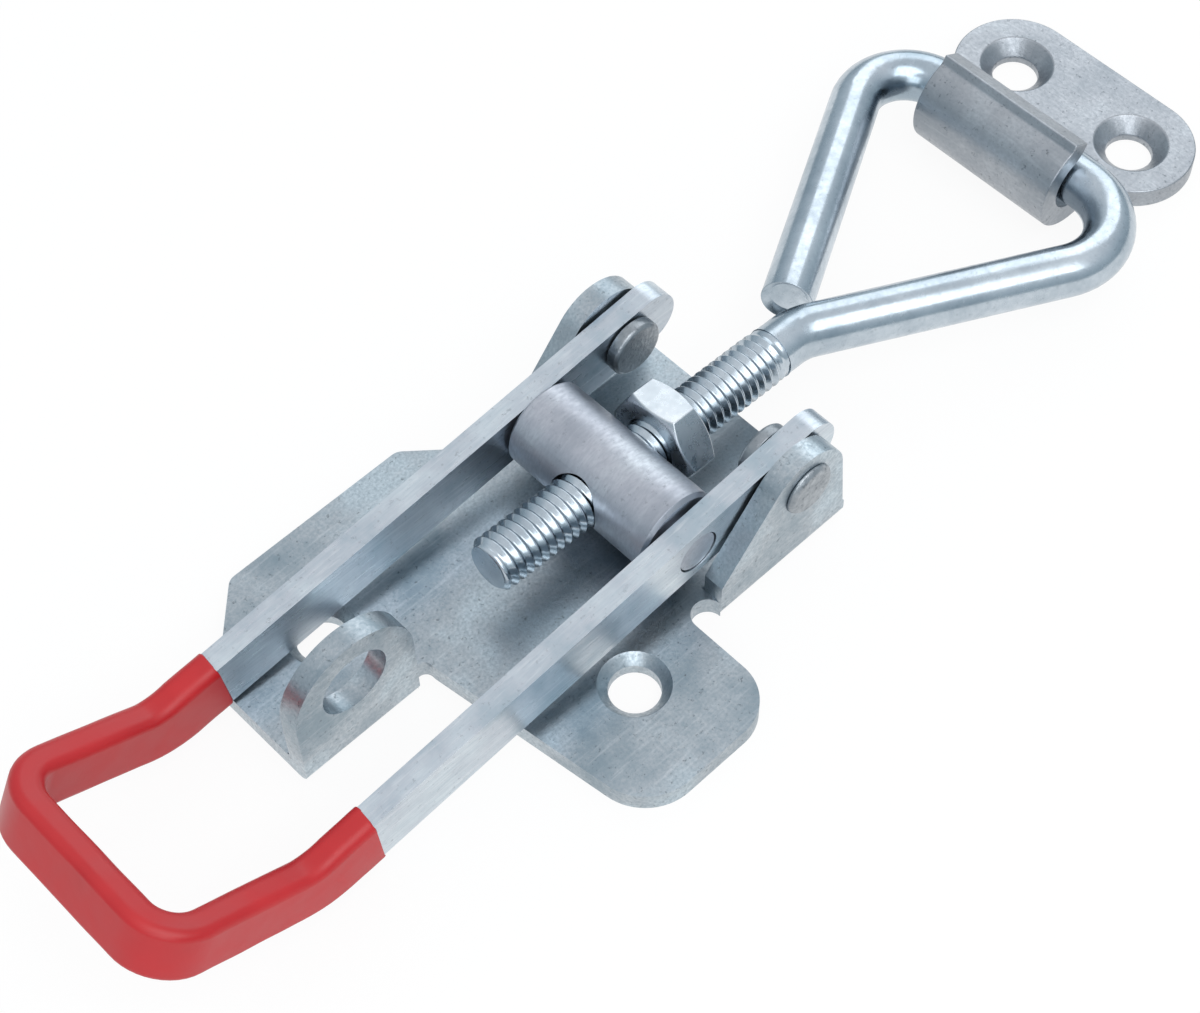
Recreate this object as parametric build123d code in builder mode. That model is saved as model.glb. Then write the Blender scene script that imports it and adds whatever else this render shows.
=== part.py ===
"""Over centre toggle latch with a padlock ear, an adjustable draw bolt and a separate keeper.

The origin lies on the base's underside, below the pivot and midway between the ears.
X runs forward to the keeper, Y to the left and Z up. All sizes are in millimetres.
"""
from build123d import *
from math import atan2, cos, radians, sin, tan
import os

os.makedirs("parts", exist_ok=True)

# ---- Pressed base: sheet, folds and the two pivot ears ----
sheet = 2.35                 # thickness of the base, its ears and the padlock ear
fold_inner = 0.5             # inside radius of each fold
fold_outer = 1.3             # outside radius of each fold
pivot_height = 10.8          # pivot axis above the base's underside
ear_round = 5.4              # rounded crown of an ear
crown_x = -0.3               # the crown's centre
crown_z = 10.0
ear_length = 17.7            # an ear's foot along X
ear_lean = 5.0               # lean of an ear's front edge, in degrees
ear_slope = 49             # slope of an ear's rear edge, in degrees
notch_radius = 1.75          # fold relief behind each ear
notch_reach = 1.85           # how far the relief runs in past the ear's outer face

# ---- Base outline, seen from above ----
tab_left = 21.2              # left edge from the centre line
tab_right = 26.7             # right edge from the centre line
left_chamfer_front = 7.2
left_chamfer_rear = 8.5
chamfer_round = 1.5
right_tab_rear = 32.9        # rear edge of the right tab at its outer end
right_tab_root = 36.7        # rear edge of the right tab at the padlock ear
right_round_front = 5.0
right_round_rear = 6.0

# ---- Padlock ear, folded up from the tongue behind the right tab ----
lock_hole_x = -45.8
lock_hole_z = 10.6
lock_hole_diameter = 7.7
lock_ear_radius = 7.2
lock_crown_z = 9.6           # centre of the ear's rounded top, a little below the hole's
lock_ear_face = -0.55        # the ear's outer face, across the base
lock_relief = 0.95           # radius of the relief in front of the ear
lock_relief_reach = 1.3

# ---- Base screw holes ----
base_hole_diameter = 5.3
base_sink_diameter = 7.4
base_holes = [(-24.1, -15.6), (-42.0, 10.0)]

# ---- Lever: a flat strip bent to a U, cranked up at its handle end ----
strip_thickness = 2.5
strip_height = 6.7           # along the arms
bow_height = 5.5             # at the handle end, behind the crank
arm_gap = 20.0               # between the two arms
arm_slope = 5.0              # the arms fall to the rear, in degrees
arm_nose = 6.6               # the arms' ends in front of the pivot
crank_distance = 60.8        # pivot to the crank's corner, along the arms
crank_angle = 32.5
crank_inner = 6.0            # radius on the upper side of the crank
crank_outer = 7.0            # radius on its lower side
handle_reach = 18.2          # crank's corner to the crossbar's centre line
handle_round = 3.0           # inside radius of the U's corners

# ---- Dipped grip ----
coat = 0.4                   # thickness of the plastic skin
coat_edge = 0.55             # bevel along the skin's long edges

# ---- Rivets at the pivot ----
rivet_diameter = 4.8
rivet_head_diameter = 6.4
rivet_head_height = 1.4
rivet_tail_diameter = 5.9
rivet_tail_height = 0.7

# ---- Trunnion ----
trunnion_distance = 12.45    # pivot to trunnion, along the arms
barrel_diameter = 9.75
stub_diameter = 4.6
stub_recess = 0.15           # the stubs' ends lie this far inside the arms' outer faces
bolt_bore = 6.2              # cross bore that the draw bolt slides through

# ---- Draw bolt: one rod, threaded at the rear, bent to a closed triangle ----
rod_diameter = 5.65
thread_diameter = 5.9
thread_chamfer = 0.6
bolt_tail = 16.1             # trunnion to the bolt's rear end
thread_front = 23.1          # trunnion to the thread's front end
bolt_fork = 27.0             # trunnion to the rod's first bend
bar_x = 52.8                 # the crossbar's centre line, where the keeper hooks on
bar_left = 23.8
bar_right = 19.0
fork_bend = 7.0              # centre line radii of the three bends
right_bend = 7.6
left_bend = 6.3
leg_end_ahead = 2.4          # left leg's cut end, ahead of the first bend
leg_end_side = 3.7           # and beside the rod's centre line

# ---- Lock nut ----
nut_flats = 10.0
nut_thickness = 3.9
nut_chamfer = 0.7
nut_stand = 0.85             # gap between nut and barrel
nut_turn = 25.0              # a corner's angle from straight up, in degrees

# ---- Keeper ----
keeper_sheet = 2.5
hook_inner = 3.5             # inside radius of the curled hook
hook_width = 18.7
hook_short = 22.0            # the curl ends this far before a half turn, in degrees
lip_bend = 0.6               # inside radius where the lip turns up from the curl
lip_turn = 38.0              # and its angle, in degrees
lip_length = 0.9
keeper_y = 3.5               # keeper's centre across the crossbar
keeper_hole_x = 63.9
keeper_hole_spacing = 16.8
keeper_hole_diameter = 5.2
keeper_sink_diameter = 8.4
keeper_round = 7.2           # rounded ends of the foot, about the holes
keeper_fillet = 2.5          # between foot and hook strip

# ---- Clearances ----
arm_play = 0.3               # arm to ear, on each side
barrel_play = 0.4            # barrel to arm, on each side
head_play = 0.15             # rivet head to arm
running_fit = 0.15           # radial, moving pins
seat_fit = 0.03              # radial, peened shanks
thread_fit = 0.1             # radial, nut over thread
grip_gap = 0.3               # edge of the coat behind the base's tongue

# ---- Values that follow ----
arm_in = arm_gap / 2
arm_out = arm_in + strip_thickness
ear_in = arm_out + arm_play
ear_out = ear_in + sheet
lean = radians(ear_lean)
ear_front = crown_x + ear_round * cos(lean) + (crown_z + ear_round * sin(lean)) * tan(lean)
ear_rear = ear_front - ear_length
notch_x = ear_rear - notch_radius
tab_front = ear_rear - 2 * notch_radius
tongue_rear = lock_hole_x - lock_ear_radius
lock_ear_front = lock_hole_x + lock_ear_radius
pivot = Vector(0, 0, pivot_height)
pivot_axis = Axis(pivot, (0, 1, 0))

slope = radians(arm_slope)
arm_back = Vector(-cos(slope), 0, -sin(slope))
arm_plane = Plane(origin=pivot, x_dir=arm_back, z_dir=(0, 1, 0))
crank = pivot + arm_back * crank_distance
rise = radians(crank_angle - arm_slope)
handle_back = Vector(-cos(rise), 0, sin(rise))
handle_plane = Plane(origin=crank, x_dir=handle_back, z_dir=(sin(rise), 0, cos(rise)))

grip_start = (grip_gap - tongue_rear + (strip_height / 2 + coat) * sin(slope)) / cos(slope)

barrel_half = arm_in - barrel_play
stub_half = arm_out - stub_recess
trunnion_centre = pivot + arm_back * trunnion_distance
bar_z = keeper_sheet + hook_inner
bolt_slope = atan2(trunnion_centre.Z - bar_z, bar_x - trunnion_centre.X)
bolt_ahead = Vector(cos(bolt_slope), 0, -sin(bolt_slope))
bolt_plane = Plane(origin=trunnion_centre, x_dir=bolt_ahead, z_dir=(sin(bolt_slope), 0, cos(bolt_slope)))
bar_distance = (bar_x - trunnion_centre.X) / cos(bolt_slope)


def near(vertices, x, y):
    """The vertices of a flat sketch that lie at x, y."""
    return [v for v in vertices if abs(v.X - x) < 0.01 and abs(v.Y - y) < 0.01]


def fold_corner(x_from, x_to, y_outer, side):
    """Round the outside of a fold that runs along X, in the part that is being built."""
    y_mid = y_outer - side * fold_outer / 2
    with BuildSketch(Plane.YZ.offset(x_from)) as waste:
        with Locations((y_mid, fold_outer / 2)):
            Rectangle(fold_outer, fold_outer)
        with Locations((y_outer - side * fold_outer, fold_outer)):
            Circle(fold_outer, mode=Mode.SUBTRACT)
    extrude(waste.sketch, amount=x_to - x_from, mode=Mode.SUBTRACT)


# ---- Base plate ----
left_notch = (notch_x, ear_out - notch_reach)
left_front = (tab_front - left_chamfer_front, tab_left)
left_rear = (tongue_rear + left_chamfer_rear, tab_left)
tongue_corner = (tongue_rear, tab_left - left_chamfer_rear)
right_rear = (-right_tab_rear, -tab_right)
right_front = (tab_front, -tab_right)

with BuildPart() as base_plate:
    with BuildSketch():
        with BuildLine():
            Polyline(
                (ear_front, -ear_out),
                (ear_front, ear_out),
                (notch_x, ear_out),
                left_notch,
                left_front,
                left_rear,
                tongue_corner,
                (tongue_rear, lock_ear_face),
                (-right_tab_root, lock_ear_face),
                right_rear,
                right_front,
                (tab_front, -ear_out),
                close=True,
            )
        make_face()
        corners = near(vertices(), *left_front) + near(vertices(), *left_rear)
        corners += near(vertices(), *tongue_corner)
        fillet(corners, chamfer_round)
        fillet(near(vertices(), *right_front), right_round_front)
        fillet(near(vertices(), *right_rear), right_round_rear)
        for side in (1, -1):
            with Locations((notch_x, side * (ear_out - notch_reach + notch_radius))):
                Circle(notch_radius, mode=Mode.SUBTRACT)
                Rectangle(
                    2 * notch_radius,
                    4 * notch_radius,
                    align=(Align.CENTER, Align.MIN if side > 0 else Align.MAX),
                    mode=Mode.SUBTRACT,
                )
        with Locations((lock_ear_front + lock_relief, lock_ear_face + lock_relief_reach - lock_relief)):
            Circle(lock_relief, mode=Mode.SUBTRACT)
            Rectangle(2 * lock_relief, 4 * lock_relief, align=(Align.CENTER, Align.MAX), mode=Mode.SUBTRACT)
    extrude(amount=sheet)

    # Pivot ears: a rounded crown between a leaning front edge and a sloping rear edge.
    fall = radians(ear_slope)
    crown_front = (crown_x + ear_round * cos(lean), crown_z + ear_round * sin(lean))
    slope_top = (crown_x - ear_round * sin(fall), crown_z + ear_round * cos(fall))
    slope_foot_z = slope_top[1] - (slope_top[0] - ear_rear) * tan(fall)
    for side in (1, -1):
        with BuildSketch(Plane.XZ.offset(-side * ear_in)):
            with BuildLine():
                Polyline(
                    (ear_front, 0),
                    crown_front,
                    (crown_x, crown_z),
                    slope_top,
                    (ear_rear, slope_foot_z),
                    (ear_rear, 0),
                    close=True,
                )
            make_face()
            with Locations((crown_x, crown_z)):
                Circle(ear_round)
        extrude(amount=-side * sheet)

    # Padlock ear.
    with BuildSketch(Plane.XZ.offset(-lock_ear_face)):
        with Locations((lock_hole_x, lock_crown_z)):
            Circle(lock_ear_radius)
            Rectangle(2 * lock_ear_radius, lock_crown_z, align=(Align.CENTER, Align.MAX))
    extrude(amount=-sheet)

    # Folds: inside radius between plate and ear, outside radius below.
    inner = [
        e
        for e in edges().filter_by(Axis.X)
        if abs(e.center().Z - sheet) < 0.01
        and min(abs(abs(e.center().Y) - ear_in), abs(e.center().Y - lock_ear_face - sheet)) < 0.01
    ]
    fillet(inner, fold_inner)
    for side in (1, -1):
        fold_corner(ear_rear, ear_front, side * ear_out, side)
    fold_corner(tongue_rear, lock_ear_front, lock_ear_face, -1)

    # Pivot, padlock and screw holes.
    with BuildSketch(Plane.XZ.offset(-ear_out - 1)):
        with Locations((0, pivot_height)):
            Circle(rivet_diameter / 2 + seat_fit)
    extrude(amount=2 * ear_out + 2, mode=Mode.SUBTRACT)
    with BuildSketch(Plane.XZ.offset(-lock_ear_face - sheet - 1)):
        with Locations((lock_hole_x, lock_hole_z)):
            Circle(lock_hole_diameter / 2)
    extrude(amount=sheet + 2, mode=Mode.SUBTRACT)
    with Locations(Plane.XY.offset(sheet)):
        with Locations(*base_holes):
            CounterSinkHole(base_hole_diameter / 2, base_sink_diameter / 2, counter_sink_angle=90)
base_plate.part.label = "base_plate"
export_step(base_plate.part, "parts/base_plate.step")


# ---- Rivets: head inside the arm, shank through arm and ear, tail peened over outside ----
def rivet_profile(side):
    """Half section of a rivet along the pivot axis, revolved in the part that is being built."""
    head_face = arm_in - head_play
    shank = rivet_diameter / 2
    head = rivet_head_diameter / 2
    tail = rivet_tail_diameter / 2
    points = [
        (head_face - rivet_head_height, 0),
        (head_face - rivet_head_height, head - 0.3),
        (head_face - rivet_head_height + 0.3, head),
        (head_face, head),
        (head_face, shank),
        (ear_out, shank),
        (ear_out, tail),
        (ear_out + 0.4 * rivet_tail_height, tail),
        (ear_out + rivet_tail_height, tail - 0.6 * rivet_tail_height),
        (ear_out + rivet_tail_height, 0),
    ]
    with BuildSketch(Plane(origin=pivot, x_dir=(0, side, 0), z_dir=(side, 0, 0))) as half_section:
        with BuildLine():
            Polyline(*points, close=True)
        make_face()
    revolve(half_section.sketch, axis=pivot_axis)


with BuildPart() as rivet_left:
    rivet_profile(1)
rivet_left.part.label = "rivet_left"
export_step(rivet_left.part, "parts/rivet_left.step")

with BuildPart() as rivet_right:
    rivet_profile(-1)
rivet_right.part.label = "rivet_right"
export_step(rivet_right.part, "parts/rivet_right.step")


# ---- Lever and grip share one U-shaped strip form ----
def strip_form(skin, start):
    """The bent strip, thickened by skin on every side, from start along the arms to the crossbar.

    The arms are cut to a cranked outline and the handle end is bent round in the crank's plane.
    """
    half = strip_height / 2 + skin
    half_bow = bow_height / 2 + skin
    bend = radians(crank_angle)
    corner = (half_bow - half * cos(bend)) / sin(bend)
    leg = half * sin(bend) - corner * cos(bend) + crank_inner * tan(bend / 2) + 0.5
    cut_end = Vector(crank_distance + leg * cos(bend), leg * sin(bend))
    across = Vector(-sin(bend), cos(bend)) * half_bow
    for side in (1, -1):
        with BuildSketch(arm_plane.offset(side * (arm_in - skin))) as arm:
            with BuildLine():
                Polyline(
                    (start, -half),
                    (crank_distance + corner, -half),
                    (cut_end.X - across.X, cut_end.Y - across.Y),
                    (cut_end.X + across.X, cut_end.Y + across.Y),
                    (crank_distance - corner, half),
                    (start, half),
                    close=True,
                )
            make_face()
            fillet(near(vertices(), crank_distance - corner, half), crank_inner - skin)
            fillet(near(vertices(), crank_distance + corner, -half), crank_outer + skin)
            if skin == 0:
                fillet(near(vertices(), start, -half) + near(vertices(), start, half), half - 0.05)
        extrude(arm.sketch, amount=side * (strip_thickness + 2 * skin))
    reach = handle_reach + strip_thickness / 2 + skin
    inside = handle_reach - strip_thickness / 2 - skin
    with BuildSketch(handle_plane) as bow:
        with BuildLine():
            Polyline(
                (leg, arm_out + skin),
                (reach, arm_out + skin),
                (reach, -arm_out - skin),
                (leg, -arm_out - skin),
                (leg, -arm_in + skin),
                (inside, -arm_in + skin),
                (inside, arm_in - skin),
                (leg, arm_in - skin),
                close=True,
            )
        make_face()
        outer = near(vertices(), reach, arm_out + skin) + near(vertices(), reach, -arm_out - skin)
        fillet(outer, handle_round + strip_thickness + skin)
        hollow = near(vertices(), inside, arm_in - skin) + near(vertices(), inside, -arm_in + skin)
        fillet(hollow, handle_round - skin)
    extrude(bow.sketch, amount=half_bow, both=True)


with BuildPart() as lever:
    strip_form(0, -arm_nose)
    with BuildSketch(arm_plane.offset(-arm_out - 1)):
        Circle(rivet_diameter / 2 + running_fit)
        with Locations((trunnion_distance, 0)):
            Circle(stub_diameter / 2 + running_fit)
    extrude(amount=2 * arm_out + 2, mode=Mode.SUBTRACT)
lever.part.label = "lever"
export_step(lever.part, "parts/lever.step")

with BuildPart() as grip:
    strip_form(coat, grip_start)
    chamfer(edges().filter_by(lambda e: e.length > 2 * strip_thickness + 2 * coat), coat_edge)
    add(lever.part, mode=Mode.SUBTRACT)
grip.part.label = "grip"
export_step(grip.part, "parts/grip.step")

# ---- Trunnion: barrel with a stub at each end, and a cross bore for the bolt ----
with BuildPart() as trunnion:
    with BuildSketch(Plane.XZ.offset(-barrel_half)):
        with Locations((trunnion_centre.X, trunnion_centre.Z)):
            Circle(barrel_diameter / 2)
    extrude(amount=2 * barrel_half)
    chamfer(edges().filter_by(GeomType.CIRCLE), 0.4)
    with BuildSketch(Plane.XZ.offset(-stub_half)):
        with Locations((trunnion_centre.X, trunnion_centre.Z)):
            Circle(stub_diameter / 2)
    extrude(amount=2 * stub_half)
    with BuildSketch(Plane(origin=trunnion_centre, z_dir=bolt_ahead)):
        Circle(bolt_bore / 2)
    extrude(amount=barrel_diameter, both=True, mode=Mode.SUBTRACT)
trunnion.part.label = "trunnion"
export_step(trunnion.part, "parts/trunnion.step")

# ---- Draw bolt ----
leg_end = Vector(bolt_fork + leg_end_ahead, leg_end_side)
leg_start = Vector(bar_distance, bar_left)
leg_join = leg_start + (leg_end - leg_start) * 0.5

with BuildPart() as draw_bolt:
    with BuildLine(bolt_plane):
        bolt_path = FilletPolyline(
            (thread_front, 0),
            (bolt_fork, 0),
            (bar_distance, -bar_right),
            (bar_distance, bar_left),
            (leg_join.X, leg_join.Y),
            radius=(fork_bend, right_bend, left_bend),
        )
    with BuildSketch(Plane(origin=bolt_plane.from_local_coords((thread_front, 0, 0)), z_dir=bolt_ahead)):
        Circle(rod_diameter / 2)
    sweep(path=bolt_path)
    leg_ahead = bolt_plane.from_local_coords(leg_end) - bolt_plane.from_local_coords(leg_join)
    with BuildSketch(Plane(origin=bolt_plane.from_local_coords(leg_join), z_dir=leg_ahead)):
        Circle(rod_diameter / 2)
    extrude(amount=leg_ahead.length)
    with BuildSketch(Plane(origin=bolt_plane.from_local_coords((-bolt_tail, 0, 0)), z_dir=bolt_ahead)):
        Circle(thread_diameter / 2)
    extrude(amount=bolt_tail + thread_front)
    tail_ring = edges().filter_by(GeomType.CIRCLE).sort_by(Axis.X)[0]
    chamfer(tail_ring, thread_chamfer)
draw_bolt.part.label = "draw_bolt"
export_step(draw_bolt.part, "parts/draw_bolt.step")

# ---- Lock nut ----
nut_rear = barrel_diameter / 2 + nut_stand
nut_corner = nut_flats / 2 / cos(radians(30))
with BuildPart() as lock_nut:
    nut_origin = bolt_plane.from_local_coords((nut_rear, 0, 0))
    with BuildSketch(Plane(origin=nut_origin, x_dir=bolt_plane.z_dir, z_dir=bolt_ahead)):
        RegularPolygon(nut_corner, 6, rotation=nut_turn)
    extrude(amount=nut_thickness)
    # Both faces are turned down at thirty degrees to a ring just inside the flats.
    with BuildSketch(Plane(origin=nut_origin, x_dir=bolt_plane.z_dir, z_dir=(0, 1, 0))) as nut_turned:
        with BuildLine():
            run = nut_corner - nut_flats / 2 + 0.2
            Polyline(
                (0, 0),
                (nut_flats / 2 - 0.2, 0),
                (nut_corner, run * 0.577),
                (nut_corner, nut_thickness - run * 0.577),
                (nut_flats / 2 - 0.2, nut_thickness),
                (0, nut_thickness),
                close=True,
            )
        make_face()
    revolve(axis=Axis(nut_origin, bolt_ahead), mode=Mode.INTERSECT)
    with BuildSketch(Plane(origin=nut_origin, z_dir=bolt_ahead)):
        Circle(thread_diameter / 2 + thread_fit)
    extrude(amount=nut_thickness, mode=Mode.SUBTRACT)
lock_nut.part.label = "lock_nut"
export_step(lock_nut.part, "parts/lock_nut.step")

# ---- Keeper: a foot with two screw holes, curled over the crossbar into a hook ----
with BuildPart() as keeper:
    with BuildSketch():
        for side in (1, -1):
            with Locations((keeper_hole_x, keeper_y + side * keeper_hole_spacing / 2)):
                Circle(keeper_round)
        with Locations((keeper_hole_x, keeper_y)):
            Rectangle(2 * keeper_round, keeper_hole_spacing)
        with Locations((bar_x, keeper_y)):
            Rectangle(keeper_hole_x - bar_x, hook_width, align=(Align.MIN, Align.CENTER))
        waist = [
            v
            for v in vertices()
            if abs(abs(v.Y - keeper_y) - hook_width / 2) < 0.01 and v.X > bar_x + 0.1
        ]
        fillet(waist, keeper_fillet)
    extrude(amount=keeper_sheet)
    with BuildSketch(Plane.XZ.offset(-keeper_y - hook_width / 2)):
        with BuildLine():
            strip = Line((keeper_hole_x - keeper_round, keeper_sheet / 2), (bar_x, keeper_sheet / 2))
            curl = JernArc(strip @ 1, strip % 1, hook_inner + keeper_sheet / 2, hook_short - 180)
            rise_up = JernArc(curl @ 1, curl % 1, lip_bend + keeper_sheet / 2, lip_turn)
            Line(rise_up @ 1, rise_up @ 1 + (rise_up % 1) * lip_length)
        trace(line_width=keeper_sheet)
    extrude(amount=hook_width)
    with Locations(Plane.XY.offset(keeper_sheet)):
        with Locations(*[(keeper_hole_x, keeper_y + s * keeper_hole_spacing / 2) for s in (1, -1)]):
            CounterSinkHole(keeper_hole_diameter / 2, keeper_sink_diameter / 2, counter_sink_angle=90)
keeper.part.label = "keeper"
export_step(keeper.part, "parts/keeper.step")
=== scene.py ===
# %% [markdown]
# # Over centre toggle latch
# A folded base, a U-shaped lever with a dipped grip, a draw bolt screwed through a trunnion, and a
# keeper that hooks over the bolt's crossbar. The measured solids come in as a fixed frame. Each of
# them gets the finish that zinc plating, turning, pressing and dipping give it in the workshop.

# %% Load the measured part
import bmesh
import bpy
from math import cos, pi, radians, sin, tan
from mathutils import Matrix, Vector, noise


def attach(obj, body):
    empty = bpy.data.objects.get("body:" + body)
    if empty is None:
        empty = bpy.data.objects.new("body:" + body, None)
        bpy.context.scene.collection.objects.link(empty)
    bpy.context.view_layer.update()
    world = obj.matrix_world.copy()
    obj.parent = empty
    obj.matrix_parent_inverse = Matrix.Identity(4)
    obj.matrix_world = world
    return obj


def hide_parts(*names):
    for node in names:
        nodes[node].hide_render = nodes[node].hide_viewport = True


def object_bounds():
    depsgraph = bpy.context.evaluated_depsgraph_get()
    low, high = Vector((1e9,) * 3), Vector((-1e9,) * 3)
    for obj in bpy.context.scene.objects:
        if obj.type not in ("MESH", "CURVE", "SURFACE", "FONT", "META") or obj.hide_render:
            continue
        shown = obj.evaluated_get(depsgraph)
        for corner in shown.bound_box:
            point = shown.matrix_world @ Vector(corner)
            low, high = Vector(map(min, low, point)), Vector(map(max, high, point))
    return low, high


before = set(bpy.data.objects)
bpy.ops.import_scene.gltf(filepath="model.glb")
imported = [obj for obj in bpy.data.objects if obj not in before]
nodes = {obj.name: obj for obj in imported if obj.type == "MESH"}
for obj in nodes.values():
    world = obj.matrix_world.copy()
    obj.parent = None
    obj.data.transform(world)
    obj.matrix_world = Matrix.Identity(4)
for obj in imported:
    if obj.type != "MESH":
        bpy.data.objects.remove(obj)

cad_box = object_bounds()
mm = 0.001
print("nodes:", ", ".join(sorted(nodes)))
print("size in mm:", [round((high - low) / mm, 1) for low, high in zip(*cad_box)])

# %% [markdown]
# ## Camera
# A real close-up of a small part is taken with a longish lens from about a quarter of a metre away.
# The camera looks down at a steep angle from behind the handle and from the right-hand side. Its
# place is worked out from a centre, two angles and a distance, which are easier to think about than
# three coordinates and a rotation.

# %% Set up the camera
picture_width = 1200
view_azimuth = -43.86
view_elevation = 56.31
view_roll = -0.56
view_distance = 252.6 * mm
view_centre = Vector((-11.4, -2.3, 6.0)) * mm
focal_pixels = 2537.4
shift_pixels = (-32.4, -1.5)     # of the lens, across and up

camera_data = bpy.data.cameras.new("camera")
camera_data.sensor_width = 36
camera_data.lens = camera_data.sensor_width * focal_pixels / picture_width
camera_data.shift_x = shift_pixels[0] / picture_width
camera_data.shift_y = shift_pixels[1] / picture_width
camera_data.clip_start = 0.01
camera_data.clip_end = 100     # metres, to the far end of the table
camera = bpy.data.objects.new("camera", camera_data)
turn = Matrix.Rotation(radians(view_azimuth), 3, "Z")
turn = turn @ Matrix.Rotation(radians(90 - view_elevation), 3, "X")
turn = turn @ Matrix.Rotation(radians(view_roll), 3, "Z")
backwards = turn @ Vector((0, 0, 1))
camera.matrix_world = Matrix.LocRotScale(view_centre + backwards * view_distance, turn, None)
bpy.context.scene.collection.objects.link(camera)
bpy.context.scene.camera = camera
bpy.context.scene.view_settings.view_transform = "Standard"
print("camera at", [round(v / mm, 1) for v in camera.matrix_world.translation], "mm")

# %% [markdown]
# ## Two helpers for materials
# Every colour is written as a screen colour in hex, the way a colour card gives it, and turned to
# the linear numbers that the renderer wants. One small function adds a node, sets it and links it,
# so that a material reads from top to bottom like a recipe.

# %% Colour and node helpers
def linear(hex_colour):
    """Turn an sRGB hex colour such as A4A9AE into linear red, green and blue, with full alpha."""
    channels = [int(hex_colour[i : i + 2], 16) / 255 for i in (0, 2, 4)]
    return [c / 12.92 if c <= 0.04045 else ((c + 0.055) / 1.055) ** 2.4 for c in channels] + [1.0]


def add(tree, kind, inputs=None, **settings):
    """Add a node. Each input is a plain value, or the output of a node made earlier."""
    made = tree.nodes.new(kind)
    for name, value in settings.items():
        setattr(made, name, value)
    for socket, value in (inputs or {}).items():
        if isinstance(value, bpy.types.NodeSocket):
            tree.links.new(value, made.inputs[socket])
        else:
            made.inputs[socket].default_value = value
    return made


def start_material(name):
    """A new material with its node tree, its surface shader and the object's own coordinates."""
    material = bpy.data.materials.new(name)
    material.use_nodes = True
    tree = material.node_tree
    shader = tree.nodes["Principled BSDF"]
    place = add(tree, "ShaderNodeTexCoord").outputs["Object"]
    return material, tree, shader, place


print("zinc grey in linear light:", [round(c, 3) for c in linear("A4A9AE")])

# %% [markdown]
# ## Table and studio light
# The latch lies on white paper. Bright metal has hardly a colour of its own: it shows what stands
# round it. So the room matters more than the lamps. The walls are a soft blue grey, the ceiling is
# pale, and three large soft lamps stand where the broad flat faces don't mirror them at the camera.
# They draw long white lines on the round bars and leave the flat faces grey.

# %% Table
table_gap = 0.02 * mm     # under the base, so that the two flat faces never coincide
table_height = cad_box[0][2] - table_gap
table_reach = 30          # metres each way, so that its edge stays out of low views
glow_share = 0.92         # the rest is lit paper, which keeps the shadow

table_mesh = bpy.data.meshes.new("table")
table_shape = bmesh.new()
bmesh.ops.create_grid(table_shape, x_segments=1, y_segments=1, size=table_reach)
bmesh.ops.translate(table_shape, verts=table_shape.verts, vec=(0, 0, table_height))
table_shape.to_mesh(table_mesh)
table_shape.free()
table = bpy.data.objects.new("table", table_mesh)
bpy.context.scene.collection.objects.link(table)

paper, tree, shader, place = start_material("matt_white_paper")
shader.inputs["Base Color"].default_value = linear("F2F2F2")
shader.inputs["Roughness"].default_value = 0.9
seen = add(tree, "ShaderNodeLightPath").outputs
direct = add(tree, "ShaderNodeMath", {0: seen["Is Camera Ray"], 1: seen["Is Glossy Ray"]},
             operation="MAXIMUM")
either = add(tree, "ShaderNodeMath", {0: direct.outputs[0], 1: seen["Is Transmission Ray"]},
             operation="MAXIMUM")
share = add(tree, "ShaderNodeMath", {0: either.outputs[0], 1: glow_share}, operation="MULTIPLY")
glow = add(tree, "ShaderNodeEmission", {"Color": (1, 1, 1, 1), "Strength": 1.0})
surface = add(tree, "ShaderNodeMixShader",
              {0: share.outputs[0], 1: shader.outputs[0], 2: glow.outputs[0]})
tree.links.new(surface.outputs[0], tree.nodes["Material Output"].inputs["Surface"])
table_mesh.materials.append(paper)
print("table top at", round(table_height / mm, 3), "mm")

# %% World
world = bpy.data.worlds.new("studio")
world.use_nodes = True
bpy.context.scene.world = world
tree = world.node_tree
sky = tree.nodes["Background"]
direction = add(tree, "ShaderNodeTexCoord").outputs["Generated"]
height = add(tree, "ShaderNodeSeparateXYZ", {0: direction}).outputs["Z"]
room = add(tree, "ShaderNodeValToRGB", {"Fac": height})
room.color_ramp.elements[0].position = 0.05
room.color_ramp.elements[0].color = (0.36, 0.44, 0.49, 1)     # walls
room.color_ramp.elements[1].position = 0.95
room.color_ramp.elements[1].color = (0.92, 0.93, 0.95, 1)     # ceiling
upper_wall = room.color_ramp.elements.new(0.45)
upper_wall.color = (0.57, 0.64, 0.69, 1)
bright_ceiling = room.color_ramp.elements.new(0.78)
bright_ceiling.color = (0.84, 0.86, 0.89, 1)
tree.links.new(room.outputs[0], sky.inputs["Color"])
sky.inputs["Strength"].default_value = 1.0
print("world set")

# %% Lamps
def soft_lamp(name, azimuth, elevation, distance, size, power):
    """A square area lamp that looks at the middle. Degrees, then metres, then watts."""
    data = bpy.data.lights.new(name, "AREA")
    data.shape = "SQUARE"
    data.size = size
    data.energy = power
    lamp = bpy.data.objects.new(name, data)
    turn = Matrix.Rotation(radians(azimuth), 3, "Z")
    turn = turn @ Matrix.Rotation(radians(90 - elevation), 3, "X")
    lamp.matrix_world = Matrix.LocRotScale(turn @ Vector((0, 0, distance)), turn, None)
    bpy.context.scene.collection.objects.link(lamp)


soft_lamp("key_lamp", -8, 62, 0.8, 0.6, 2.2)
soft_lamp("front_lamp", -46, 30, 0.9, 0.5, 1.3)
soft_lamp("back_lamp", 118, 30, 0.9, 0.6, 1.3)

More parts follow.
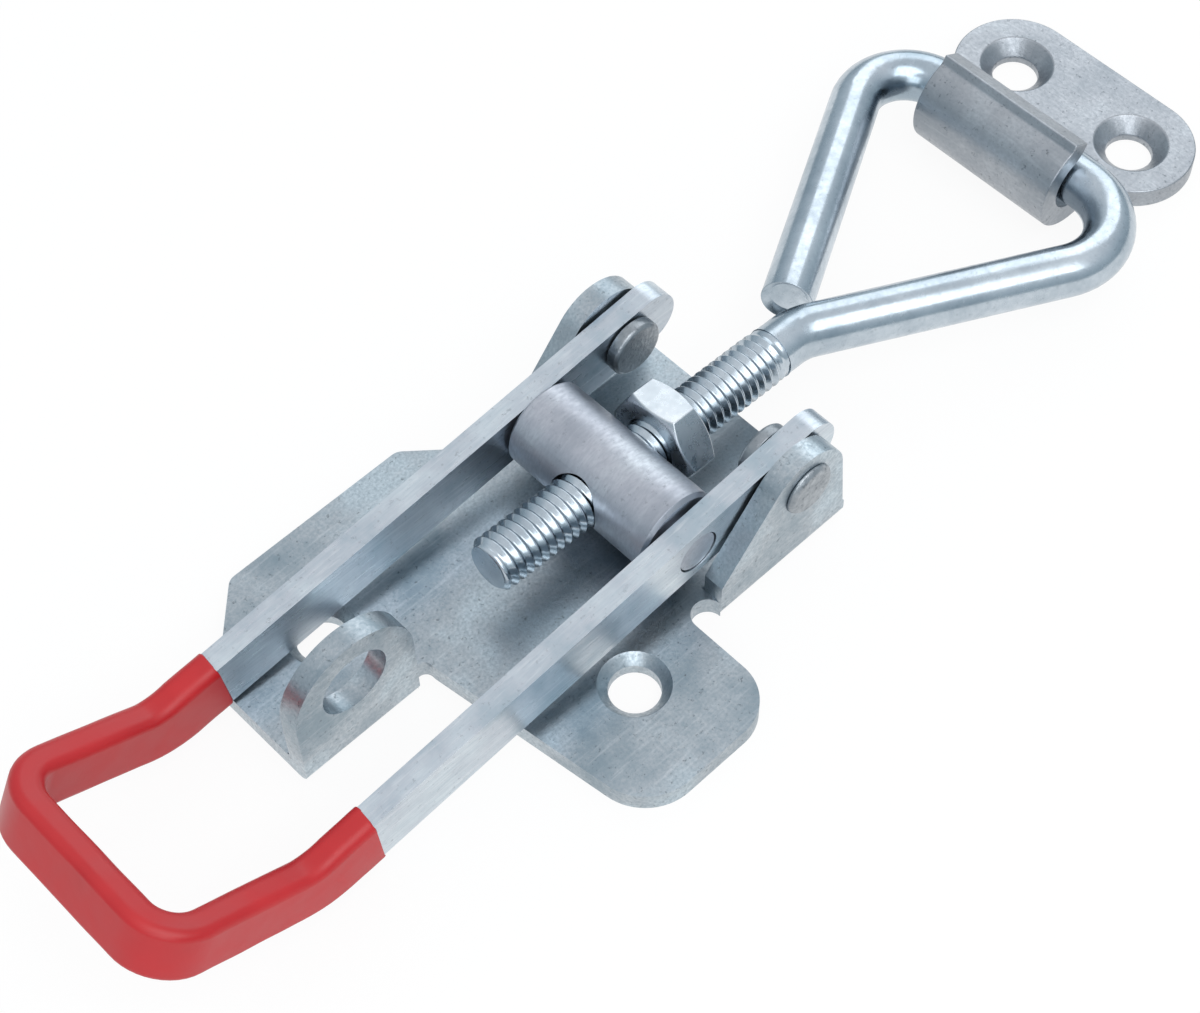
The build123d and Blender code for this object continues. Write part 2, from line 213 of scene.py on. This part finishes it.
# %% [markdown]
# ## Zinc-plated steel
# Zinc is plated from a bath over pressed, rolled or turned steel, and sealed with a clear blue
# passivate. The film is a fraction of a micrometre thick and tints the grey towards blue in one
# place and lilac in the next. The plating copies the steel's own marks: rolling grain on a sheet,
# long lines on a strip, rings on a turned bar. One recipe makes them all, because only the scale
# and the direction of those marks differ. Marks finer than 0.2 mm are drawn a little coarser, so
# that they don't turn to noise in a picture of the whole latch.

# %% Zinc-plated steel
def zinc(name, tones, roughness, grain_mm, grain_depth, specks=0.0, streaks=None, streak_share=0.0,
         mottle_share=0.3):
    """Plated steel, with its tones from dark to light and its sizes in mm along X, Y and Z."""
    material, tree, shader, place = start_material(name)

    # The passivate's clouds are about a centimetre across.
    cloud = add(tree, "ShaderNodeTexNoise", {"Vector": place, "Scale": 1 / (11 * mm),
                                             "Detail": 5.0, "Roughness": 0.6})
    film = add(tree, "ShaderNodeValToRGB", {"Fac": cloud.outputs["Fac"]})
    film.color_ramp.elements[0].position = 0.34
    film.color_ramp.elements[0].color = linear(tones[0])
    film.color_ramp.elements[1].position = 0.66
    film.color_ramp.elements[1].color = linear(tones[2])
    film.color_ramp.elements.new(0.5).color = linear(tones[1])
    colour = film.outputs["Color"]

    # The steel's own grain, as fine as its size says in each direction.
    fine = add(tree, "ShaderNodeMapping", {"Vector": place,
                                           "Scale": [1 / (size * mm) for size in grain_mm]})
    grain = add(tree, "ShaderNodeTexNoise", {"Vector": fine.outputs[0], "Scale": 1.0,
                                             "Detail": 3.0, "Roughness": 0.6})
    mottle = add(tree, "ShaderNodeMapRange", {"Value": grain.outputs["Fac"], "From Min": 0.35,
                                              "From Max": 0.65, "To Max": mottle_share})
    colour = add(tree, "ShaderNodeMix", {0: mottle.outputs[0], 6: colour, 7: linear(tones[0])},
                 data_type="RGBA").outputs[2]

    # Long scuffs from handling, seen as thin lighter lines.
    if streaks:
        long = add(tree, "ShaderNodeMapping", {"Vector": place,
                                               "Scale": [1 / (size * mm) for size in streaks]})
        line = add(tree, "ShaderNodeTexNoise", {"Vector": long.outputs[0], "Scale": 1.0,
                                                "Detail": 2.0})
        scuff = add(tree, "ShaderNodeMapRange", {"Value": line.outputs["Fac"], "From Min": 0.56,
                                                 "From Max": 0.72, "To Max": streak_share})
        colour = add(tree, "ShaderNodeMix", {0: scuff.outputs[0], 6: colour, 7: linear("DDE3E8")},
                     data_type="RGBA").outputs[2]

    # Dark specks where dirt sat on the steel in the bath.
    if specks:
        dirt = add(tree, "ShaderNodeTexNoise", {"Vector": place, "Scale": 1 / (0.6 * mm),
                                                "Detail": 3.0, "Roughness": 0.75})
        spot = add(tree, "ShaderNodeMapRange", {"Value": dirt.outputs["Fac"], "From Min": 0.60,
                                                "From Max": 0.71, "To Max": specks})
        colour = add(tree, "ShaderNodeMix", {0: spot.outputs[0], 6: colour, 7: linear("4E555B")},
                     data_type="RGBA").outputs[2]

    tree.links.new(colour, shader.inputs["Base Color"])
    shader.inputs["Metallic"].default_value = 1.0
    rough = add(tree, "ShaderNodeMapRange", {"Value": grain.outputs["Fac"], "From Min": 0.3,
                                             "From Max": 0.7, "To Min": roughness - 0.05,
                                             "To Max": roughness + 0.09})
    tree.links.new(rough.outputs[0], shader.inputs["Roughness"])
    bump = add(tree, "ShaderNodeBump", {"Height": grain.outputs["Fac"], "Strength": 1.0,
                                        "Distance": grain_depth * mm})
    tree.links.new(bump.outputs[0], shader.inputs["Normal"])
    return material


# Pressed sheet: even grain, specks, and the strongest blue clouds.
sheet_zinc = zinc("zinc_plated_pressed_sheet", ("8B9BA5", "B4BCC2", "C4D2DA"), 0.33,
                  (0.34, 0.34, 0.34), 0.016,
                  specks=0.6, streaks=(5, 0.35, 0.35), streak_share=0.2, mottle_share=0.55)
# Flat strip: rolled lengthwise, so its grain is drawn out along the arms.
strip_zinc = zinc("zinc_plated_flat_strip", ("A2B4BF", "C5CCD4", "D6E0E6"), 0.31,
                  (5, 0.3, 0.3), 0.010,
                  specks=0.3, streaks=(14, 0.3, 0.3), streak_share=0.4)
# Turned bar: tumbled after turning, so a sandy skin lies over the faint rings.
turned_zinc = zinc("zinc_plated_turned_bar", ("9FA5AF", "B8BCC5", "C8CFD6"), 0.38,
                   (0.8, 0.3, 0.8), 0.012,
                   specks=0.3, streaks=(6, 0.5, 6), streak_share=0.12, mottle_share=0.5)
# Drawn rod: pulled through a die, so it is the smoothest, and only the plating dulls it.
rod_zinc = zinc("zinc_plated_drawn_rod", ("9FAEB9", "BAC5CE", "CDD7DF"), 0.20,
                (0.9, 0.9, 0.9), 0.005, specks=0.2, mottle_share=0.25)
# Cold-formed nut: pressed in polished dies, so it is nearly as smooth as the rod, and paler.
nut_zinc = zinc("zinc_plated_cold_formed_nut", ("C3CCD3", "D2D9DF", "DFE4E8"), 0.27,
                (0.9, 0.9, 0.9), 0.004, mottle_share=0.15)
# Peened rivet: hammered over, so its ends are dented as well as grained.
rivet_zinc = zinc("zinc_plated_peened_rivet", ("8A9197", "A9AFB4", "BFC6CB"), 0.36,
                  (0.6, 0.6, 0.6), 0.07, specks=0.5, mottle_share=0.7)
# Curled keeper: bent cold from sheet, so the skin is stretched dull and lined along the curl.
keeper_zinc = zinc("zinc_plated_curled_sheet", ("959CA3", "A9AEB4", "BAC1C7"), 0.35,
                   (0.36, 0.5, 0.36), 0.016,
                   specks=0.6, streaks=(0.4, 4, 0.4), streak_share=0.12, mottle_share=0.55)
print("metals:", len([m for m in bpy.data.materials if m.name.startswith("zinc_plated")]))

# %% [markdown]
# ## Dipped PVC
# The handle end is heated and dipped in liquid PVC, which gels on it. The skin is glossy but never
# flat: it sags in slow waves of a few millimetres, and has a very fine orange peel.

# %% Dipped PVC
pvc, tree, shader, place = start_material("dipped_red_pvc")
sag = add(tree, "ShaderNodeTexNoise", {"Vector": place, "Scale": 1 / (5 * mm), "Detail": 2.0})
peel = add(tree, "ShaderNodeTexNoise", {"Vector": place, "Scale": 1 / (0.5 * mm), "Detail": 2.0})
tint = add(tree, "ShaderNodeMix",
           {0: sag.outputs["Fac"], 6: linear("A9141A"), 7: linear("BF1C22")}, data_type="RGBA")
tree.links.new(tint.outputs[2], shader.inputs["Base Color"])
gloss = add(tree, "ShaderNodeMapRange", {"Value": sag.outputs["Fac"], "From Min": 0.3,
                                         "From Max": 0.7, "To Min": 0.34, "To Max": 0.48})
tree.links.new(gloss.outputs[0], shader.inputs["Roughness"])
shader.inputs["IOR"].default_value = 1.52
waves = add(tree, "ShaderNodeBump", {"Height": sag.outputs["Fac"], "Distance": 0.10 * mm,
                                     "Strength": 1.0})
skin = add(tree, "ShaderNodeBump", {"Height": peel.outputs["Fac"], "Distance": 0.006 * mm,
                                    "Strength": 1.0, "Normal": waves.outputs[0]})
tree.links.new(skin.outputs[0], shader.inputs["Normal"])
print("materials:", len(bpy.data.materials))

# %% [markdown]
# ## Softened copies of the solids
# A solid from CAD has perfectly sharp edges, and no pressed or turned part has. Each node is
# copied, its loose triangles are merged, flat areas become single faces again, and the sharp edges
# are bevelled by a few tenths of a millimetre. That thin round catches the light like the real
# one. The work is in three steps, so that a piece can be changed between them.

# %% Copy, soften, place
same_point = 0.001 * mm
same_plane = radians(0.6)


def everything(shape):
    """All of a shape's points, edges and faces."""
    return shape.verts[:] + shape.edges[:] + shape.faces[:]


def open_edges(shape):
    """The edges that have a face on one side only."""
    return [edge for edge in shape.edges if edge.is_boundary]


def edges_sharper_than(shape, degrees):
    """The edges where two faces meet at more than an angle."""
    return [e for e in shape.edges
            if len(e.link_faces) == 2 and e.calc_face_angle(0) > radians(degrees)]


def round_off(shape, geometry, radius, segments, affect="EDGES"):
    """Round some edges, or some corners, with a radius in metres."""
    bmesh.ops.bevel(shape, geom=geometry, offset=radius, offset_type="OFFSET", segments=segments,
                    profile=0.5, affect=affect, clamp_overlap=True, material=-1)


def copied(node_name):
    """A node's shape with its doubles merged and its flat areas joined."""
    shape = bmesh.new()
    shape.from_mesh(nodes[node_name].data)
    bmesh.ops.remove_doubles(shape, verts=shape.verts, dist=same_point)
    bmesh.ops.dissolve_limit(shape, angle_limit=same_plane, verts=shape.verts, edges=shape.edges,
                             use_dissolve_boundaries=False)
    return shape


def soften(shape, radius_mm, segments=2):
    """Round every sharp edge. Facets of a curve meet at less than 32 degrees and stay."""
    round_off(shape, edges_sharper_than(shape, 32), radius_mm * mm, segments)
    return shape


def placed(shape, node_name, body, material):
    """Make the shape an object that rides on its body and stands for its node."""
    for face in shape.faces:
        face.smooth = True
    mesh = bpy.data.meshes.new(node_name + "_finished")
    shape.to_mesh(mesh)
    shape.free()
    piece = bpy.data.objects.new(node_name + "_finished", mesh)
    bpy.context.scene.collection.objects.link(piece)
    mesh.materials.append(material)
    piece.modifiers.new("flat faces stay flat", "WEIGHTED_NORMAL").keep_sharp = True
    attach(piece, body)
    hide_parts(node_name)
    print(node_name, "faces:", len(mesh.polygons))


# Each piece's node, body, metal, slot, edge radius in mm, and steps across that round.
for node_name, body, metal, slot, radius_mm, segments in (
    ("base_plate", "base", sheet_zinc, "zinc_sheet", 0.32, 3),
    ("rivet_left", "base", rivet_zinc, "zinc_rivet", 0.4, 4),
    ("rivet_right", "base", rivet_zinc, "zinc_rivet", 0.4, 4),
    ("lever", "lever", strip_zinc, "zinc_strip", 0.22, 2),
    ("trunnion", "trunnion", turned_zinc, "zinc_barrel", 0.2, 3),
    ("lock_nut", "lock_nut", nut_zinc, "zinc_nut", 0.15, 2),
    ("keeper", "keeper", keeper_zinc, "zinc_keeper", 0.34, 3),
):
    placed(soften(copied(node_name), radius_mm, segments), node_name, body, metal)

# %% [markdown]
# ## Grip
# The skin follows the strip inside it: straight along the arm, up round the crank, straight again,
# round the corner and across. Liquid PVC draws away from sharp corners and hangs thicker on flat
# sides, so the section is a rectangle with generous rounds. One section is drawn at the rim and led
# along that way, by short extrusions where it is straight and by small turns where it bends. Half
# of the grip is made like this and the other half is its mirror image.

# %% Section and way of the grip
arm_fall = radians(5)            # the arms fall to the rear
handle_rise = radians(27.5)      # and the handle behind the crank rises
crank_angle = arm_fall + handle_rise
arm_back = Vector((-cos(arm_fall), 0, -sin(arm_fall)))
arm_up = Vector((-sin(arm_fall), 0, cos(arm_fall)))
handle_back = Vector((-cos(handle_rise), 0, sin(handle_rise)))
handle_up = Vector((sin(handle_rise), 0, cos(handle_rise)))
left = Vector((0, 1, 0))
pivot = Vector((0, 0, 10.8)) * mm
crank_distance = 60.8            # mm, from the pivot to where arm and handle would meet
crank = pivot + arm_back * crank_distance * mm
arm_middle = 11.25 * mm          # the middle of an arm, across the latch
skin_half_width = 1.65 * mm      # strip and skin together
arm_half_height = 3.75 * mm
bow_half_height = 3.15 * mm
section_round = 1.12 * mm
crank_radius = 9.05 * mm         # of the section's middle
corner_radius = 4.25 * mm
handle_reach = 18.2 * mm         # from the crank to the middle of the crossbar
rim_distance = 53.9 * mm         # from the pivot to the skin's rim
rim_wander = 0.35 * mm
rim_wave = 1.3 * mm              # how wide one of the rim's waves is
rim_round = 0.14 * mm
uneven_depth = 0.05 * mm
uneven_wave = 4 * mm
crank_tangent = crank_radius * tan(crank_angle / 2)


def next_ring(shape, ring):
    """Extrude a ring of edges in place, and give the new ring and its points."""
    made = bmesh.ops.extrude_edge_only(shape, edges=ring)["geom"]
    ring = [g for g in made if isinstance(g, bmesh.types.BMEdge)]
    return ring, list({v for e in ring for v in e.verts})


def run(shape, ring, direction, length, count):
    """Extrude a ring of edges straight ahead in short pieces, and give the last ring."""
    for _ in range(count):
        ring, verts = next_ring(shape, ring)
        bmesh.ops.translate(shape, verts=verts, vec=direction * length / count)
    return ring


def bend(shape, ring, centre, axis, angle, count, narrow=1.0, up=None):
    """Turn a ring of edges about an axis in small steps, narrowing it a little at each."""
    for step in range(count):
        ring, verts = next_ring(shape, ring)
        turn = Matrix.Rotation(angle / count, 3, axis)
        bmesh.ops.rotate(shape, verts=verts, cent=centre, matrix=turn)
        if narrow != 1.0:
            upward = Matrix.Rotation(angle * (step + 1) / count, 3, axis) @ up
            middle = sum((v.co for v in verts), Vector()) / len(verts)
            for vert in verts:
                vert.co += upward * (vert.co - middle).dot(upward) * (narrow ** (1 / count) - 1)
    return ring


# %% Grip
shape = bmesh.new()
rim_middle = pivot + arm_back * rim_distance + Vector((0, arm_middle, 0))
corners = [
    shape.verts.new(rim_middle + left * skin_half_width * a + arm_up * arm_half_height * b)
    for a, b in ((-1, -1), (1, -1), (1, 1), (-1, 1))
]
shape.faces.new(corners)
round_off(shape, corners, section_round, 6, affect="VERTICES")
arm_length = crank.dot(arm_back) - pivot.dot(arm_back) - crank_tangent - rim_distance
ring = run(shape, shape.edges[:], arm_back, arm_length, 5)
bend_centre = crank - arm_back * crank_tangent + arm_up * crank_radius
ring = bend(shape, ring, bend_centre, left, crank_angle, 8,
            bow_half_height / arm_half_height, arm_up)
ring = run(shape, ring, handle_back, handle_reach - corner_radius - crank_tangent, 12)
corner_centre = crank + handle_back * (handle_reach - corner_radius)
corner_centre.y = arm_middle - corner_radius
ring = bend(shape, ring, corner_centre, handle_up, radians(90), 12)
run(shape, ring, -left, arm_middle - corner_radius, 7)
bmesh.ops.recalc_face_normals(shape, faces=shape.faces)

other_half = bmesh.ops.duplicate(shape, geom=everything(shape))["geom"]
other_verts = [g for g in other_half if isinstance(g, bmesh.types.BMVert)]
other_faces = [g for g in other_half if isinstance(g, bmesh.types.BMFace)]
bmesh.ops.scale(shape, verts=other_verts, vec=(1, -1, 1))
bmesh.ops.reverse_faces(shape, faces=other_faces)
bmesh.ops.remove_doubles(shape, verts=shape.verts, dist=0.005 * mm)

# The rim wanders along the arm, and the whole skin is a little uneven.
for vert in shape.verts:
    along = (vert.co - pivot).dot(arm_back)
    if along < rim_distance + 0.05 * mm:
        vert.co += arm_back * rim_wander * noise.noise(vert.co / rim_wave)
shape.normal_update()
for vert in shape.verts:
    if (vert.co - pivot).dot(arm_back) > rim_distance + 1 * mm:
        vert.co += vert.normal * uneven_depth * noise.noise(vert.co / uneven_wave)
round_off(shape, edges_sharper_than(shape, 60), rim_round, 3)
print("grip open edges:", len(open_edges(shape)))
placed(shape, "grip", "lever", pvc)

# %% [markdown]
# ## Draw bolt and its thread
# The thread is rolled: hard dies press the grooves in, and the displaced steel rises to the crests,
# which is why the thread is a little thicker than the plain rod. To make it, one pitch of the
# profile is drawn as a line of five points and turned about the axis while it moves ahead by a
# pitch each turn. That is a screw, and a right-handed one when it moves the way a right hand's
# thumb points. Too long at first, it is cut square at both ends and closed.

# %% Draw bolt and its thread
pitch = 1.0 * mm
root_radius = 2.48 * mm
crest_radius = 2.95 * mm
rod_radius = 2.825 * mm
tail = -16.1 * mm            # along the bolt from the trunnion's axis
thread_front = 23.1 * mm
thread_overlap = 0.05 * mm   # how far the thread reaches into the rod ahead
run_out = 1.6 * mm           # over which the grooves fade into the rod
run_out_radius = rod_radius - 0.02 * mm
tail_chamfer = 0.6 * mm
steps_per_turn = 32
spare_turns = 3              # cut off again, half of them at each end
leg_end_ahead = 29.4         # mm from the trunnion's axis to the left leg's end, along the bolt
leg_end_left = 3.7           # mm
leg_end_reach = 4 * mm
leg_end_least_area = 15 * mm * mm
hollow_rim = 0.9 * mm
hollow_depth = 0.6 * mm
trunnion_axis = Vector((-12.4026, 0, 9.7149)) * mm
ahead = Vector((0.998381, 0, -0.056883))

thread = bmesh.new()
profile = [(0.0, root_radius), (0.25, root_radius), (0.56, crest_radius), (0.69, crest_radius),
           (1.0, root_radius)]     # a share of the pitch, and the radius there
points = [thread.verts.new((tail + (along - spare_turns / 2) * pitch, 0, radius))
          for along, radius in profile]
lines = [thread.edges.new(pair) for pair in zip(points, points[1:])]
turns = (thread_front - tail) / pitch + spare_turns
bmesh.ops.spin(thread, geom=points + lines, cent=(0, 0, 0), axis=(1, 0, 0),
               dvec=(pitch / steps_per_turn, 0, 0), angle=2 * pi * turns,
               steps=round(turns * steps_per_turn), use_merge=False, use_duplicate=False)
bmesh.ops.remove_doubles(thread, verts=thread.verts, dist=0.01 * mm)
for end, outward in ((tail, -1), (thread_front + thread_overlap, 1)):
    bmesh.ops.bisect_plane(thread, geom=everything(thread), dist=1e-7, plane_co=(end, 0, 0),
                           plane_no=(outward, 0, 0), clear_outer=True)
bmesh.ops.holes_fill(thread, edges=open_edges(thread), sides=0)
for vert in thread.verts:
    radius = Vector((0, vert.co.y, vert.co.z)).length
    wanted = min(radius, crest_radius - tail_chamfer + (vert.co.x - tail))
    fade = min(1.0, max(0.0, (vert.co.x - (thread_front - run_out)) / run_out))
    wanted = wanted + (run_out_radius - wanted) * fade
    vert.co.y *= wanted / radius
    vert.co.z *= wanted / radius
turned_to_bolt = Matrix((ahead, left, ahead.cross(left))).transposed().to_4x4()
bmesh.ops.transform(thread, matrix=Matrix.Translation(trunnion_axis) @ turned_to_bolt,
                    verts=thread.verts)
bmesh.ops.recalc_face_normals(thread, faces=thread.faces)
print("thread faces:", len(thread.faces), "open edges:", len(open_edges(thread)))

shape = copied("draw_bolt")
bmesh.ops.bisect_plane(shape, geom=everything(shape), dist=1e-7,
                       plane_co=trunnion_axis + ahead * thread_front, plane_no=-ahead,
                       clear_outer=True)
bmesh.ops.holes_fill(shape, edges=open_edges(shape), sides=0)
# The left leg's end was sheared off, which leaves its middle a little hollow.
leg_end = trunnion_axis + ahead * leg_end_ahead * mm + left * leg_end_left * mm
sheared = [f for f in shape.faces if f.calc_area() > leg_end_least_area
           and (f.calc_center_median() - leg_end).length < leg_end_reach]
bmesh.ops.inset_individual(shape, faces=sheared, thickness=hollow_rim, depth=-hollow_depth,
                           use_even_offset=True)
print("sheared ends:", len(sheared))
soften(shape, 0.12)
thread_mesh = bpy.data.meshes.new("thread")
thread.to_mesh(thread_mesh)
thread.free()
shape.from_mesh(thread_mesh)
bpy.data.meshes.remove(thread_mesh)
placed(shape, "draw_bolt", "draw_bolt", rod_zinc)
